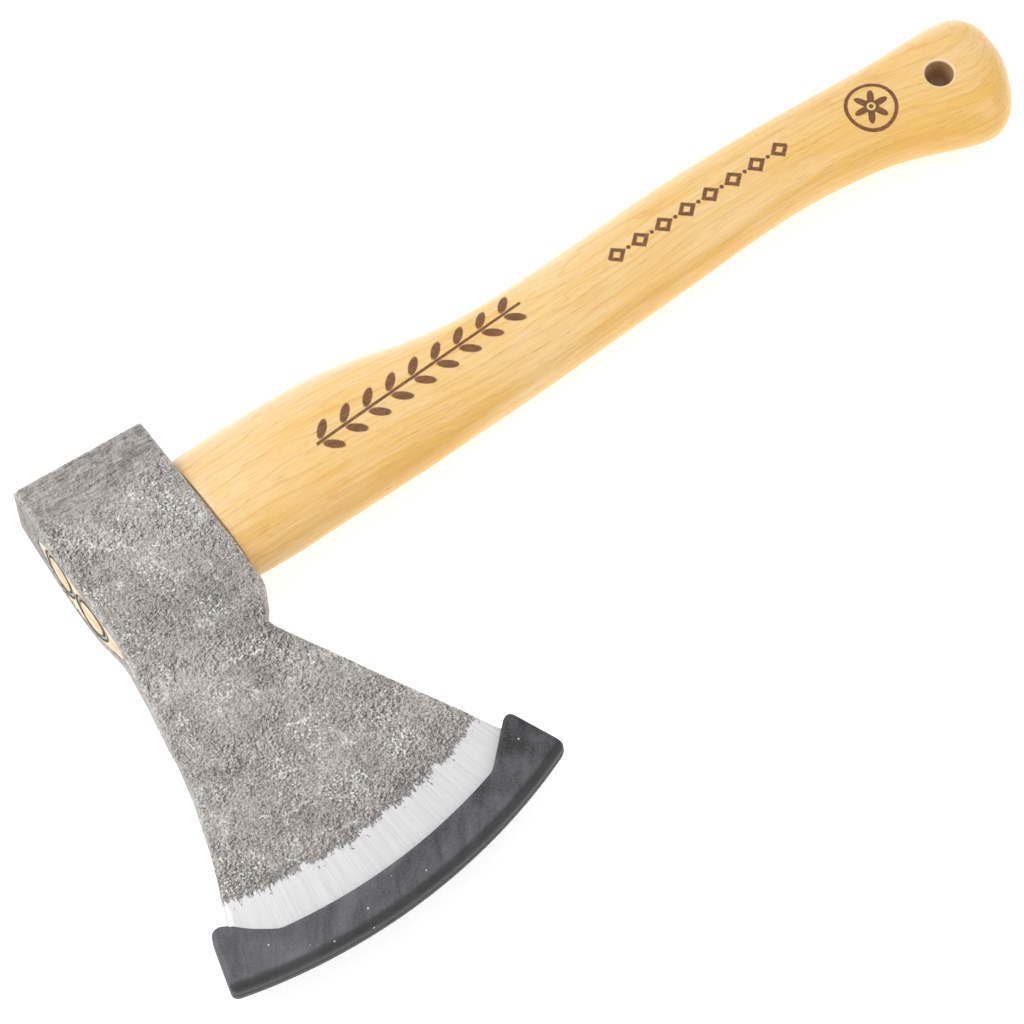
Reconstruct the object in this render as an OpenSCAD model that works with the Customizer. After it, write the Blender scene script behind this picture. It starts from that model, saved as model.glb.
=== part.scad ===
// Carving hatchet lying on its side: forged head, curved hickory handle, the wedges
// that lock the head on the handle, and a pull-off guard over the cutting edge.
//
// Drawing frame of the modules: u runs along the handle from the outer eye face
// of the head to the knob, v runs from the cutting edge to the poll, and w is the
// thickness, with w = 0 in the middle of the tool. The origin of the part is under the
// middle of its outline, on the surface that the tool lies on.

/* [Head] */
// Thickness of the head at the eye
head_t = 29; // [28:0.5:31]
// Thickness of the poll
poll_t = 26.6; // [24:0.2:27]
// Distance from the middle of the eye to the poll face
poll_reach = 38.5; // [36:0.5:42]
// Half thickness of the blade where the polished bevel begins
bevel_h = 3.1; // [2.4:0.1:3.6]
// Half thickness of the cutting edge itself
edge_h = 0.35; // [0.2:0.05:0.5]
// Rounding of the forged outer edges
forge_r = 2; // [1:0.1:2.5]

/* [Eye and wedges] */
// Length of the eye at the outer face
eye_len = 50; // [48:0.5:51]
// Width of the eye at the outer face
eye_w = 20; // [19:0.5:20.5]
// Length of the eye at the handle side
eye_len_in = 47.6; // [46:0.2:48]
// Width of the eye at the handle side
eye_w_in = 18.4; // [17:0.2:19]
// Clearance between the tenon and the eye
eye_clear = 0.1; // [0.05:0.05:0.2]
// Outer diameter of a ring wedge at its driven face
ring_d = 16.6; // [14:0.2:17]
// Depth of a ring wedge
ring_depth = 12; // [8:1:16]
// Wall of a ring wedge at its driven face
ring_wall = 1.3; // [1:0.1:1.6]
// How far the ring wedges are driven below the end grain
ring_sink = 0.4; // [0.3:0.1:1.5]
// Thickness of the wooden wedge at the end grain
wedge_t = 2.2; // [1.4:0.1:3]
// Depth of the wooden wedge
wedge_depth = 32; // [20:1:36]
// Length of the wooden wedge along the eye
wedge_len = 43; // [36:1:44]

/* [Handle] */
// Thickness of the grip
grip_t = 24; // [22:0.5:26]
// Thickness of the knob
knob_t = 25.6; // [24:0.2:27]
// Radius of the hanging hole
hole_r = 4.7; // [4:0.1:5.5]
// Distance from the outer eye face to the hanging hole
hole_u = 335; // [328:0.5:340]
// Height of the hanging hole above the line through the middle of the eye
hole_v = 7.7; // [4:0.1:12]

/* [Edge guard] */
// Outer thickness of the guard
guard_t = 10; // [8.5:0.5:12]
// Rounding of the guard's rims
guard_round = 1.6; // [1:0.1:2]
// Clearance between the slot and the blade
guard_clear = 0.5; // [0.35:0.05:0.8]
// Radius of the guard's outer arc
guard_out_r = 199.5; // [198.5:0.5:201]
// Radius of the guard's inner rim
guard_in_r = 181; // [178:0.5:184]

/* [Hidden] */
// Middle of the whole outline in the drawing frame
mid_u = 167.6;
mid_v = -52.7;
// Middle of the cutting edge's arc, and its radius
edge_c = [18, 54];
edge_r = 195;
// Ring wedge positions along the eye
ring_v_poll = 11.2;
ring_v_blade = -7.3;

// ---- helpers -------------------------------------------------------------

// Smooth value between rows of a table: a curve through every row
function crom(a, b, c, d, t) =
    0.5 * ((2 * b) + (c - a) * t + (2 * a - 5 * b + 4 * c - d) * t * t
           + (3 * b - a - 3 * c + d) * t * t * t);
function row_at(T, i) = T[max(0, min(len(T) - 1, i))];
function smooth_rows(T, n) = [
    for (i = [0 : len(T) - 2]) for (k = [0 : n - 1])
        crom(row_at(T, i - 1), T[i], T[i + 1], row_at(T, i + 2), k / n),
    T[len(T) - 1]
];

// A closed skin over rings of points that all have the same even count
module ring_skin(R) {
    n = len(R[0]);
    m = len(R);
    polyhedron(
        points = [for (r = R) for (p = r) p],
        faces = concat(
            [for (i = [0 : m - 2]) for (j = [0 : n - 1]) for (f = [0, 1])
                let (a = i * n + j, b = i * n + (j + 1) % n, c = a + n, d = b + n)
                    f == 0 ? [a, b, c] : [b, d, c]],
            // the ends close with strips that join the two long sides of the ring
            [for (j = [0 : n / 2 - 2]) for (f = [0, 1])
                f == 0 ? [n - 1 - j, j + 1, j] : [n - 1 - j, n - 2 - j, j + 1]],
            [for (j = [0 : n / 2 - 2]) for (f = [0, 1]) let (e = (m - 1) * n)
                f == 0 ? [e + j, e + j + 1, e + n - 1 - j]
                       : [e + j + 1, e + n - 2 - j, e + n - 1 - j]]
        ),
        convexity = 8);
}

function unit(p) = p / norm(p);

// Everything is drawn about the middle plane and then set down on its side
module in_place() translate([-mid_u, -mid_v, head_t / 2]) children();

// ---- head ----------------------------------------------------------------

// Rows across the head, from the poll to the cutting edge:
// toe side u, v; heel side u, v; bulge of the row towards the edge; half thickness
head_rows = [
    [ 0.9, poll_reach, 45.9, poll_reach, 0, poll_t / 2 - 1.6],
    [ 0.2, poll_reach - 0.5, 46.7, poll_reach - 0.5, 0, poll_t / 2 - 0.6],
    [ 0.0, poll_reach - 2, 47.0, poll_reach - 2, 0, poll_t / 2],
    [ 0.0, 24, 47.8, 24, 0, (poll_t + head_t) / 4],
    [ 0.0, 12, 48.6, 12, 0, head_t / 2],
    [ 0.2, 3, 49.3, 3, 0, head_t / 2],
    [ 0.6, -6, 50.0, -6, 0, head_t / 2],
    [ 1.2, -12.5, 50.6, -12.5, 0, head_t / 2 - 0.7],
    [ 2.0, -18.5, 51.2, -18.5, 0, head_t / 2 - 2.4],
    [ 2.4, -24, 51.8, -24, 0, head_t / 2 - 4.2],
    [ 2.3, -28.5, 52.1, -28, 0.2, head_t / 2 - 5.4],
    [ 2.0, -32, 51.3, -31.5, 0.4, head_t / 2 - 6.1],
    [ 1.7, -35.5, 49.2, -35, 0.6, head_t / 2 - 6.5],
    [ 1.4, -39, 46.9, -38.5, 0.9, head_t / 2 - 6.8],
    [ 1.1, -42, 47.0, -41.5, 1.2, head_t / 2 - 7.0],
    [ 0.6, -46, 49.2, -45.5, 1.7, head_t / 2 - 7.3],
    [-0.3, -54, 54.4, -53.5, 2.8, head_t / 2 - 7.9],
    [-1.4, -64, 60.9, -63.5, 4, head_t / 2 - 8.7],
    [-3.0, -74.5, 67.6, -74, 5.2, head_t / 2 - 9.5],
    [-5.4, -85, 74.1, -84, 6.2, head_t / 2 - 10.2],
    [-8.4, -96.5, 80.2, -93.5, 7, bevel_h + 0.55],
    [-11.8, -107, 84.8, -100.6, 7.6, bevel_h + 0.1],
    [-14.6, -114.2, 87.8, -105.2, 8.2, bevel_h * 0.86],
    [-17.4, -122, 91.4, -110.8, 8.9, bevel_h * 0.62],
    [-20.1, -130, 95.2, -116.8, 9.7, bevel_h * 0.34],
    [-22.2, -136.8, 98.8, -122.4, 10.4, edge_h]
];
head_n = 2;
head_cols = 14;
// Places across a row: rounded borders at both ends, even steps between
function cols(w, r) = concat(
    [0, 0.3 * r / w, r / w],
    [for (k = [1 : head_cols - 1]) r / w + (1 - 2 * r / w) * k / head_cols],
    [1 - r / w, 1 - 0.3 * r / w, 1]);
function border(j, n) = j == 0 || j == n - 1 ? 1 : j == 1 || j == n - 2 ? 0.3 : 0;
function head_line(row, side) =
    let (a = [row[0], row[1]], b = [row[2], row[3]], w = norm(b - a),
         h = min(row[5], head_t / 2), r = min(forge_r, h * 0.8), T = cols(w, forge_r), n = len(T),
         nrm = unit([(b - a)[1], -(b - a)[0]]))
        [for (j = [0 : n - 1])
            let (t = T[j], p = a + (b - a) * t + nrm * row[4] * 4 * t * (1 - t))
                [p[0], p[1], side * (h - r * border(j, n))]];
head_ring_rows = smooth_rows(head_rows, head_n);
function head_rings() = [
    for (row = head_ring_rows)
        let (top = head_line(row, 1), bot = head_line(row, -1), n = len(top))
            concat(top, [for (j = [n - 1 : -1 : 0]) bot[j]])
];

// Oval of the eye: half length a, half width b; p and q shape the pointed ends
eye_p = 2.4;
eye_q = 0.72;
section_n = 18;
function oval(a, b, p, q) = concat(
    [for (k = [0 : section_n - 1]) let (c = cos(180 * k / section_n))
        [-a * c, b * pow(max(0, 1 - pow(abs(c), p)), q)]],
    [for (k = [0 : section_n - 1]) let (c = cos(180 * k / section_n))
        [a * c, -b * pow(max(0, 1 - pow(abs(c), p)), q)]]);
function eye_ring(u, grow) =
    let (f = u / 50,
         a = (eye_len + (eye_len_in - eye_len) * f) / 2 + grow,
         b = (eye_w + (eye_w_in - eye_w) * f) / 2 + grow)
        [for (p = oval(a, b, eye_p, eye_q)) [u, p[0], p[1]]];
module eye_void() ring_skin([for (u = [-3, 10, 25, 40, 56]) eye_ring(u, 0)]);

module head() color("#7d7b79") in_place()
    difference() {
        ring_skin(head_rings());
        eye_void();
    }

// ---- handle ---------------------------------------------------------------

// Stations along the handle outside the head:
// u, lower v, upper v, thickness, lean of the section towards the head's face
handle_rows = [
    [50.4, -22.6, 25.6, 21.2, 0.078],
    [54, -22.6, 26.4, 22, 0.07],
    [62, -22.5, 27.2, 22.8, 0.04],
    [72, -22.2, 27.7, 23.2, 0.01],
    [86, -21.2, 28.2, 23.6, 0],
    [102, -20.2, 28.1, grip_t, 0],
    [118, -19.2, 26.1, grip_t, 0],
    [134, -17.9, 22.6, grip_t, 0],
    [150, -16.6, 20.6, grip_t, 0],
    [166, -15.2, 20.8, grip_t, 0],
    [182, -13.5, 21.8, grip_t, 0],
    [198, -11.9, 23.1, grip_t, 0],
    [214, -10.3, 24.6, grip_t, 0],
    [230, -8.6, 26.1, grip_t, 0],
    [246, -6.7, 27.2, grip_t, 0],
    [262, -5.2, 27.7, grip_t, 0],
    [278, -4.6, 27.9, grip_t, 0],
    [294, -5.3, 27.9, grip_t, 0],
    [308, -6.9, 27.9, grip_t, 0],
    [320, -10, 28, (grip_t + knob_t) / 2, 0],
    [331, -13.8, 28.6, knob_t, 0],
    [340, -16.2, 29.1, knob_t, 0],
    [346, -15.6, 29.2, knob_t - 0.6, 0],
    [351.5, -12.2, 28.6, knob_t - 3, 0],
    [356, -6.2, 26.6, knob_t - 7, 0],
    [359.2, 1, 22.6, knob_t - 12.4, 0],
    [360.8, 8, 16.4, knob_t - 20, 0]
];
handle_p = 2.35;
handle_n = 2;
tenon_u = 0.3;
function tenon_ring(u) =
    let (r = eye_ring(u, -eye_clear)) [for (p = r) [p[0] - (u > 40 ? 0.078 * p[1] : 0), p[1], p[2]]];
function handle_ring(s) =
    let (a = (s[2] - s[1]) / 2, c = (s[2] + s[1]) / 2)
        [for (p = oval(a, s[3] / 2, handle_p, 0.5)) [s[0] - s[4] * (p[0] + c), p[0] + c, p[1]]];
// The head's outer face slants away below the eye's middle; the wood and the wedges end
// along it. Pairs of v and the face's u
face_line = [[36, 0], [12, 0], [3, 0.2], [-6, 0.6], [-12.5, 1.2], [-18.5, 2], [-24, 2.4], [-32, 2.4]];
module face_trim(sink) translate([0, 0, -16]) linear_extrude(height = 32)
    polygon(concat([[-9, 36]], [for (p = face_line) [p[1] + tenon_u + sink, p[0]]], [[-9, -32]]));
module ring_shape(grow) rotate([0, 90, 0]) rotate_extrude($fn = 64)
    polygon([
        [ring_d / 2 + grow, grow > 0 ? -6 : tenon_u],
        [ring_d / 2 + grow, 2],
        [ring_d / 2 - 0.25 + grow, ring_depth + grow],
        [ring_d / 2 - ring_wall + 0.6 - grow, ring_depth + grow],
        [ring_d / 2 - ring_wall - grow, 2],
        [ring_d / 2 - ring_wall - grow, grow > 0 ? -6 : tenon_u]
    ]);
module ring_piece(v) difference() {
    translate([0, v, 0]) ring_shape(0);
    face_trim(ring_sink);
}
module wedge_shape(grow) translate([0, wedge_len / 2 + grow, 0]) rotate([90, 0, 0])
    linear_extrude(height = wedge_len + 2 * grow)
        polygon([
            [tenon_u - (grow > 0 ? 5 : 1), wedge_t / 2 + grow + (grow > 0 ? 0.1 : 0)],
            [wedge_depth + grow, wedge_t / 6 + grow],
            [wedge_depth + grow, -wedge_t / 6 - grow],
            [tenon_u - (grow > 0 ? 5 : 1), -wedge_t / 2 - grow - (grow > 0 ? 0.1 : 0)]
        ]);
module ring_grooves(grow) {
    translate([0, ring_v_poll, 0]) ring_shape(grow);
    translate([0, ring_v_blade, 0]) ring_shape(grow);
}
module handle() color("#e6b878") in_place()
    difference() {
        ring_skin(concat(
            [for (u = [tenon_u - 1, 12, 24, 36, 49.9]) tenon_ring(u)],
            [for (s = smooth_rows(handle_rows, handle_n)) handle_ring(s)]));
        wedge_shape(0.05);
        ring_grooves(0.05);
        face_trim(0);
        translate([hole_u, hole_v, -40]) cylinder(h = 80, r = hole_r, $fn = 48);
    }

// ---- wedges ---------------------------------------------------------------

module wood_wedge() color("#d9a35f") in_place()
    difference() {
        wedge_shape(0);
        ring_grooves(0.05);
        face_trim(0);
    }
module ring_wedge_poll() color("#9a9a98") in_place()
    ring_piece(ring_v_poll);
module ring_wedge_blade() color("#9a9a98") in_place()
    ring_piece(ring_v_blade);

// ---- edge guard -------------------------------------------------------------

guard_in_c = [19, 51];
guard_out_c = [17.5, 55.5];
function on_arc(c, r, u) = [u, c[1] - sqrt(r * r - (u - c[0]) * (u - c[0]))];
function between(a, b, k) = a + (b - a) * k;
// Cross-sections along the guard, each from the outer arc to the inner rim. The rim is
// higher in the two ears, which hook over the corners of the blade.
guard_toe_top = [-21.4, -117.4];
guard_heel_top = [93.2, -104.6];
function guard_outer(u) = on_arc(guard_out_c, guard_out_r, u);
function guard_inner(u) = on_arc(guard_in_c, guard_in_r, u);
guard_stations = concat(
    [for (k = [0, 0.03, 0.09, 0.2, 0.4, 0.6, 0.8])
        [guard_outer(between(-26, -3.5, k)), between(guard_toe_top, guard_inner(-3), k)]],
    [for (k = [0 : 14]) [guard_outer(between(-3.5, 84, k / 14)), guard_inner(between(-3, 79, k / 14))]],
    [for (k = [0.2, 0.4, 0.6, 0.8, 0.91, 0.97, 1])
        [guard_outer(between(84, 103.4, k)), between(guard_inner(79), guard_heel_top, k)]]);
function end_round(i) = let (j = min(i, len(guard_stations) - 1 - i)) j == 0 ? 1 : j == 1 ? 0.3 : j == 2 ? 0.05 : 0;
function guard_section(i) =
    let (o = guard_stations[i][0], n = guard_stations[i][1], L = norm(n - o), d = (n - o) / L,
         x = end_round(i) * guard_round, h = guard_t / 2 - x, r = guard_round, c = 0.3 * r,
         P = [[x, h - r], [x + c, h - c], [x + r, h], [L / 2, h], [L - x - r, h], [L - x - c, h - c],
              [L - x, h - r], [L - x, r - h], [L - x - c, c - h], [L - x - r, -h], [L / 2, -h],
              [x + r, -h], [x + c, c - h], [x, r - h]])
        [for (p = P) [o[0] + d[0] * p[0], o[1] + d[1] * p[0], p[1]]];
module guard_body() ring_skin([for (i = [0 : len(guard_stations) - 1]) guard_section(i)]);
// Slot for the blade: a V that narrows towards the cutting edge as the bevel does
module blade_slot() {
    g = guard_clear - 0.5;
    toe = [-23.2 - g, -12 - g];
    heel = [99.9 + g, 82.2 + g];
    ring_skin([for (k = [0 : 18])
        let (deep = on_arc(edge_c, edge_r + 1, between(toe[0], heel[0], k / 18)),
             mouth = on_arc(edge_c, 162, between(toe[1], heel[1], k / 18)))
            [[deep[0], deep[1], 1], [mouth[0], mouth[1], 4.4],
             [mouth[0], mouth[1], -4.4], [deep[0], deep[1], -1]]]);
}
module edge_guard() color("#3a3b3d") in_place()
    difference() {
        guard_body();
        blade_slot();
    }

head();
handle();
wood_wedge();
ring_wedge_poll();
ring_wedge_blade();
edge_guard();
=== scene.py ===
import math

import bmesh
import bpy
import numpy as np
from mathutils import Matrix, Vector


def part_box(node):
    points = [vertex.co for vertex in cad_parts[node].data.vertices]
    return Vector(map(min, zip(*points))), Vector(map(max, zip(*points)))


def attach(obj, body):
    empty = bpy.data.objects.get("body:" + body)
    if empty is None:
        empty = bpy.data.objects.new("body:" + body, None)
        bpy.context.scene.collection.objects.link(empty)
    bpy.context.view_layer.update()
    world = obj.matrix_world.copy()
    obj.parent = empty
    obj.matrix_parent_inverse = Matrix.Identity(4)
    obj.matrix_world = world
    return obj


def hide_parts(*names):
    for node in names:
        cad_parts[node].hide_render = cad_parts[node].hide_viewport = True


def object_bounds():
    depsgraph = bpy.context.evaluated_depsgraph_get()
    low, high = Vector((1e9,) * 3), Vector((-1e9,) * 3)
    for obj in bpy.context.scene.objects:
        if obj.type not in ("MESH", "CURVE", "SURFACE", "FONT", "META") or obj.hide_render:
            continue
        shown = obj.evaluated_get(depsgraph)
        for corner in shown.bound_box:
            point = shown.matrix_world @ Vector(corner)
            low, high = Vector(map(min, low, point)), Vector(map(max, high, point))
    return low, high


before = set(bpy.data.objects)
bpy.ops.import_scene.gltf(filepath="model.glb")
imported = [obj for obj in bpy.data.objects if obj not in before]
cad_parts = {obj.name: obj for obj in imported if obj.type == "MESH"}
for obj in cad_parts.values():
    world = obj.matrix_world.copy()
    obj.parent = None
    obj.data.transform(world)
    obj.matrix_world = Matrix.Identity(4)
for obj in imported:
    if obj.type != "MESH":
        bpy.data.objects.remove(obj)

cad_lo, cad_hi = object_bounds()

# The design's drawing frame is in millimetres: u along the handle, v towards the poll, w up
# from the middle plane. The row frame is in metres.
MID_U, MID_V = 167.6, -52.7
HALF_T = 500 * (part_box("head")[1].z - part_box("head")[0].z)
SHIFT = np.array([-MID_U, -MID_V, HALF_T])


def to_row(p):
    return (np.asarray(p, float) + SHIFT) / 1000


def to_drawing(p):
    return np.asarray(p, float) * 1000 - SHIFT


# ---- noise for the shapes ----------------------------------------------------------

_rng = np.random.default_rng(11)
PERM = _rng.permutation(256)
GRAD = _rng.normal(size=(256, 3))
GRAD /= np.linalg.norm(GRAD, axis=1)[:, None]


def perlin(p):
    p = np.asarray(p, float)
    i = np.floor(p).astype(int)
    f = p - i
    s = f * f * f * (f * (f * 6 - 15) + 10)
    total = 0
    for dx in (0, 1):
        for dy in (0, 1):
            for dz in (0, 1):
                h = PERM[(PERM[(PERM[(i[:, 0] + dx) & 255] + i[:, 1] + dy) & 255] + i[:, 2] + dz) & 255]
                g = (GRAD[h] * (f - [dx, dy, dz])).sum(1)
                wx = s[:, 0] if dx else 1 - s[:, 0]
                wy = s[:, 1] if dy else 1 - s[:, 1]
                wz = s[:, 2] if dz else 1 - s[:, 2]
                total = total + g * wx * wy * wz
    return total * 1.6


def fbm(p, octaves=3):
    p = np.asarray(p, float)
    return sum(perlin(p * 2**k + 17.3 * k) * 0.5**k for k in range(octaves))


def smooth(x, a, b):
    t = np.clip((x - a) / (b - a), 0, 1)
    return t * t * (3 - 2 * t)


# ---- mesh helpers ------------------------------------------------------------------


def crom(T, i, t):
    n = len(T)
    a, b, c, d = (T[max(0, min(n - 1, k))] for k in (i - 1, i, i + 1, i + 2))
    return 0.5 * ((2 * b) + (c - a) * t + (2 * a - 5 * b + 4 * c - d) * t * t + (3 * b - a - 3 * c + d) * t**3)


def smooth_rows(rows, step, key):
    """Rows on a curve through the table's rows, about step apart in column key."""
    T = np.array(rows, float)
    out = []
    for i in range(len(T) - 1):
        m = max(1, int(math.ceil(np.abs(T[i + 1][key] - T[i][key]).max() / step)))
        out += [crom(T, i, k / m) for k in range(m)]
    return np.array(out + [T[-1]])


def make(name, verts_mm, faces):
    me = bpy.data.meshes.new(name)
    me.from_pydata([tuple(p) for p in to_row(verts_mm)], [], [tuple(f) for f in faces])
    me.update()
    o = bpy.data.objects.new(name, me)
    bpy.context.scene.collection.objects.link(o)
    return o


def tube_faces(m, n):
    """Quads between m closed rings of n points."""
    return [
        (i * n + j, i * n + (j + 1) % n, (i + 1) * n + (j + 1) % n, (i + 1) * n + j)
        for i in range(m - 1)
        for j in range(n)
    ]


def outward(o):
    bm = bmesh.new()
    bm.from_mesh(o.data)
    bmesh.ops.recalc_face_normals(bm, faces=bm.faces)
    if bm.calc_volume(signed=True) < 0:
        bmesh.ops.reverse_faces(bm, faces=bm.faces)
    bm.to_mesh(o.data)
    bm.free()
    o.data.update()


def cut(o, *tools):
    for t in tools:
        m = o.modifiers.new("cut", "BOOLEAN")
        m.operation, m.solver, m.object = "DIFFERENCE", "MANIFOLD", t
    dg = bpy.context.evaluated_depsgraph_get()
    me = bpy.data.meshes.new_from_object(o.evaluated_get(dg))
    o.modifiers.clear()
    o.data = me
    for t in tools:
        bpy.data.objects.remove(t)


def shade(o, degrees=38):
    bm = bmesh.new()
    bm.from_mesh(o.data)
    bmesh.ops.dissolve_degenerate(bm, dist=1e-7, edges=bm.edges)
    limit = math.radians(degrees)
    for f in bm.faces:
        f.smooth = True
    for e in bm.edges:
        e.smooth = not (len(e.link_faces) == 2 and e.calc_face_angle(0) > limit)
    bm.to_mesh(o.data)
    bm.free()
    o.data.update()


def coords(o):
    co = np.zeros(len(o.data.vertices) * 3, np.float32)
    o.data.vertices.foreach_get("co", co)
    return co.reshape(-1, 3).astype(float)


def normals(o):
    n = np.zeros(len(o.data.vertices) * 3, np.float32)
    o.data.vertex_normals.foreach_get("vector", n)
    return n.reshape(-1, 3).astype(float)


def set_coords(o, co):
    o.data.vertices.foreach_set("co", np.asarray(co, np.float32).ravel())
    o.data.update()


def attribute(o, name, values):
    values = np.asarray(values, np.float32)
    kind = "FLOAT_VECTOR" if values.ndim == 2 else "FLOAT"
    a = o.data.attributes.new(name, kind, "POINT")
    a.data.foreach_set("vector" if values.ndim == 2 else "value", values.ravel())


# ---- head --------------------------------------------------------------------------

# toe side u, v; heel side u, v; bulge of the row towards the edge; half thickness
HEAD = np.array(
    [
        [0.9, 38.5, 45.9, 38.5, 0, 11.7],
        [0.2, 38.0, 46.7, 38.0, 0, 12.7],
        [0.0, 36.5, 47.0, 36.5, 0, 13.3],
        [0.0, 24, 47.8, 24, 0, 13.9],
        [0.0, 12, 48.6, 12, 0, 14.5],
        [0.2, 3, 49.3, 3, 0, 14.5],
        [0.6, -6, 50.0, -6, 0, 14.5],
        [1.2, -12.5, 50.6, -12.5, 0, 13.8],
        [2.0, -18.5, 51.2, -18.5, 0, 12.1],
        [2.4, -24, 51.8, -24, 0, 10.3],
        [2.3, -28.5, 52.1, -28, 0.2, 9.1],
        [2.0, -32, 51.3, -31.5, 0.4, 8.4],
        [1.7, -35.5, 49.2, -35, 0.6, 8.0],
        [1.4, -39, 46.9, -38.5, 0.9, 7.7],
        [1.1, -42, 47.0, -41.5, 1.2, 7.5],
        [0.6, -46, 49.2, -45.5, 1.7, 7.2],
        [-0.3, -54, 54.4, -53.5, 2.8, 6.6],
        [-1.4, -64, 60.9, -63.5, 4, 5.8],
        [-3.0, -74.5, 67.6, -74, 5.2, 5.0],
        [-5.4, -85, 74.1, -84, 6.2, 4.3],
        [-8.4, -96.5, 80.2, -93.5, 7, 3.65],
        [-11.8, -107, 84.8, -100.6, 7.6, 3.2],
        [-14.6, -114.2, 87.8, -105.2, 8.2, 2.67],
        [-17.4, -122, 91.4, -110.8, 8.9, 1.92],
        [-20.1, -130, 95.2, -116.8, 9.7, 1.05],
        [-22.2, -136.8, 98.8, -122.4, 10.4, 0.35],
    ]
)
N_SIDE, N_CORNER, N_TOP = 12, 5, 104
GRIND_C, GRIND_R = np.array([20.0, 51.0]), 166.0


def head_ring(row):
    a, b = row[0:2], row[2:4]
    w = np.linalg.norm(b - a)
    n = np.array([(b - a)[1], -(b - a)[0]]) / w
    h = min(row[5], 14.5)
    r = min(2.0, 0.8 * h)

    def top(x):
        t = x / w
        return a + (b - a) * t + n * row[4] * 4 * t * (1 - t)

    path = [(0.0, z) for z in np.linspace(-(h - r), h - r, N_SIDE + 1)]
    arc = [(r - r * math.cos(q), h - r + r * math.sin(q)) for q in np.linspace(0, math.pi / 2, N_CORNER + 1)[1:]]
    path += arc
    path += [(x, h) for x in np.linspace(r, w - r, N_TOP + 1)[1:]]
    path += [(w - x, z) for x, z in arc[-2::-1]] + [(w, h - r)]
    half = path[N_SIDE:]  # from the toe side's upper end over the top to the heel side's upper end
    down = [(w, z) for z in np.linspace(h - r, -(h - r), N_SIDE + 1)[1:]]
    under = [(x, -z) for x, z in half[-2:0:-1]]
    return [(*top(x), z) for x, z in path + down + under], len(half)


def head_end(rings, at, n_half, base, flip):
    """A grid that closes an end ring, from its upper side to its lower side."""
    ring = rings[at]
    n = len(ring)
    upper = [N_SIDE + k for k in range(n_half)]  # ring index, upper half, toe to heel
    lower = [0] + [n - k for k in range(1, n_half - 1)] + [N_SIDE + n_half - 1 + N_SIDE]
    verts, faces, columns = [], [], []
    for k in range(n_half):
        if k == 0:
            columns.append([at * n + j for j in range(N_SIDE, -1, -1)])
        elif k == n_half - 1:
            columns.append([at * n + upper[k] + j for j in range(N_SIDE + 1)])
        else:
            p, q = np.array(ring[upper[k]]), np.array(ring[lower[k]])
            ids = [at * n + upper[k]]
            for j in range(1, N_SIDE):
                ids.append(base + len(verts))
                verts.append(tuple(p + (q - p) * j / N_SIDE))
            columns.append(ids + [at * n + lower[k]])
    for c, d in zip(columns, columns[1:]):
        for j in range(N_SIDE):
            f = (c[j], d[j], d[j + 1], c[j + 1])
            faces.append(f[::-1] if flip else f)
    return verts, faces


def grind_mask(p):
    """1 on the ground bevel, 0 on the forged skin; the line between them is ragged."""
    d = p[:, :2] - GRIND_C
    r = np.linalg.norm(d, axis=1)
    arc = np.arctan2(d[:, 0], -d[:, 1]) * GRIND_R
    q = np.stack([arc * 0.5, r * 0.12, np.zeros(len(r))], 1)
    return smooth(r - GRIND_R + 2.0 * perlin(q), -1.0, 1.0)


head_rows = smooth_rows(HEAD, 1.0, [1])
rings = []
for row in head_rows:
    ring, n_half = head_ring(row)
    rings.append(ring)
n = len(rings[0])
V = [p for r in rings for p in r]
F = tube_faces(len(rings), n)
v1, f1 = head_end(rings, 0, n_half, len(V), True)
V += v1
v2, f2 = head_end(rings, len(rings) - 1, n_half, len(V), False)
V += v2
head = make("axe_head", V, F + f1 + f2)
outward(head)


def toe_u(v):
    return np.interp(-v, -HEAD[:, 1], HEAD[:, 0])


def heel_u(v):
    return np.interp(-v, -HEAD[:, 3], HEAD[:, 2])


def shape_head(o):
    co, nr = coords(o), normals(o)
    p = to_drawing(co)
    ground = grind_mask(p)
    poll = smooth(p[:, 1], 14, 26)
    thick = np.interp(-p[:, 1], -HEAD[::-1, 1][::-1], HEAD[:, 5])
    lumps = 0.5 + 0.5 * np.clip(fbm(p / 17.0, 3), -1, 1)
    dents = smooth(perlin(p / 6.3 + 40), 0.15, 0.75)
    chips = smooth(perlin(p / 2.6 + 80), 0.25, 0.8)
    d = 0.42 * lumps * (1 - 0.65 * poll) + 0.26 * dents * (1 - 0.8 * poll) + 0.12 * chips
    d = d * (1 - ground) * np.clip(thick / 6, 0.35, 1)
    # a low step where the grinding begins, and the shallow waves a wheel leaves
    d = d + ground * (0.10 + 0.02 * perlin(p / 9.0))
    edge = smooth(p[:, 1], 34.5, 38.2)
    side = np.minimum(np.abs(p[:, 0] - toe_u(p[:, 1])), np.abs(heel_u(p[:, 1]) - p[:, 0]))
    near = np.where(p[:, 1] > -60, smooth(side, 4.5, 0.5), 0)
    d = d * (1 - 0.7 * edge) * (1 - 0.7 * near) * smooth(thick, 0.2, 2.2)
    set_coords(o, co - nr * (d / 1000)[:, None])


shape_head(head)


def oval(a, b, p, q, k):
    th = np.linspace(0, np.pi, k + 1)[:-1]
    c = np.cos(th)
    s = np.clip(1 - np.abs(c) ** p, 0, 1) ** q
    return np.concatenate([np.stack([-a * c, b * s], 1), np.stack([a * c, -b * s], 1)])


def eye(u, grow, k=64):
    f = u / 50
    return oval((50 - 2.4 * f) / 2 + grow, (20 - 1.6 * f) / 2 + grow, 2.4, 0.72, k)


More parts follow.
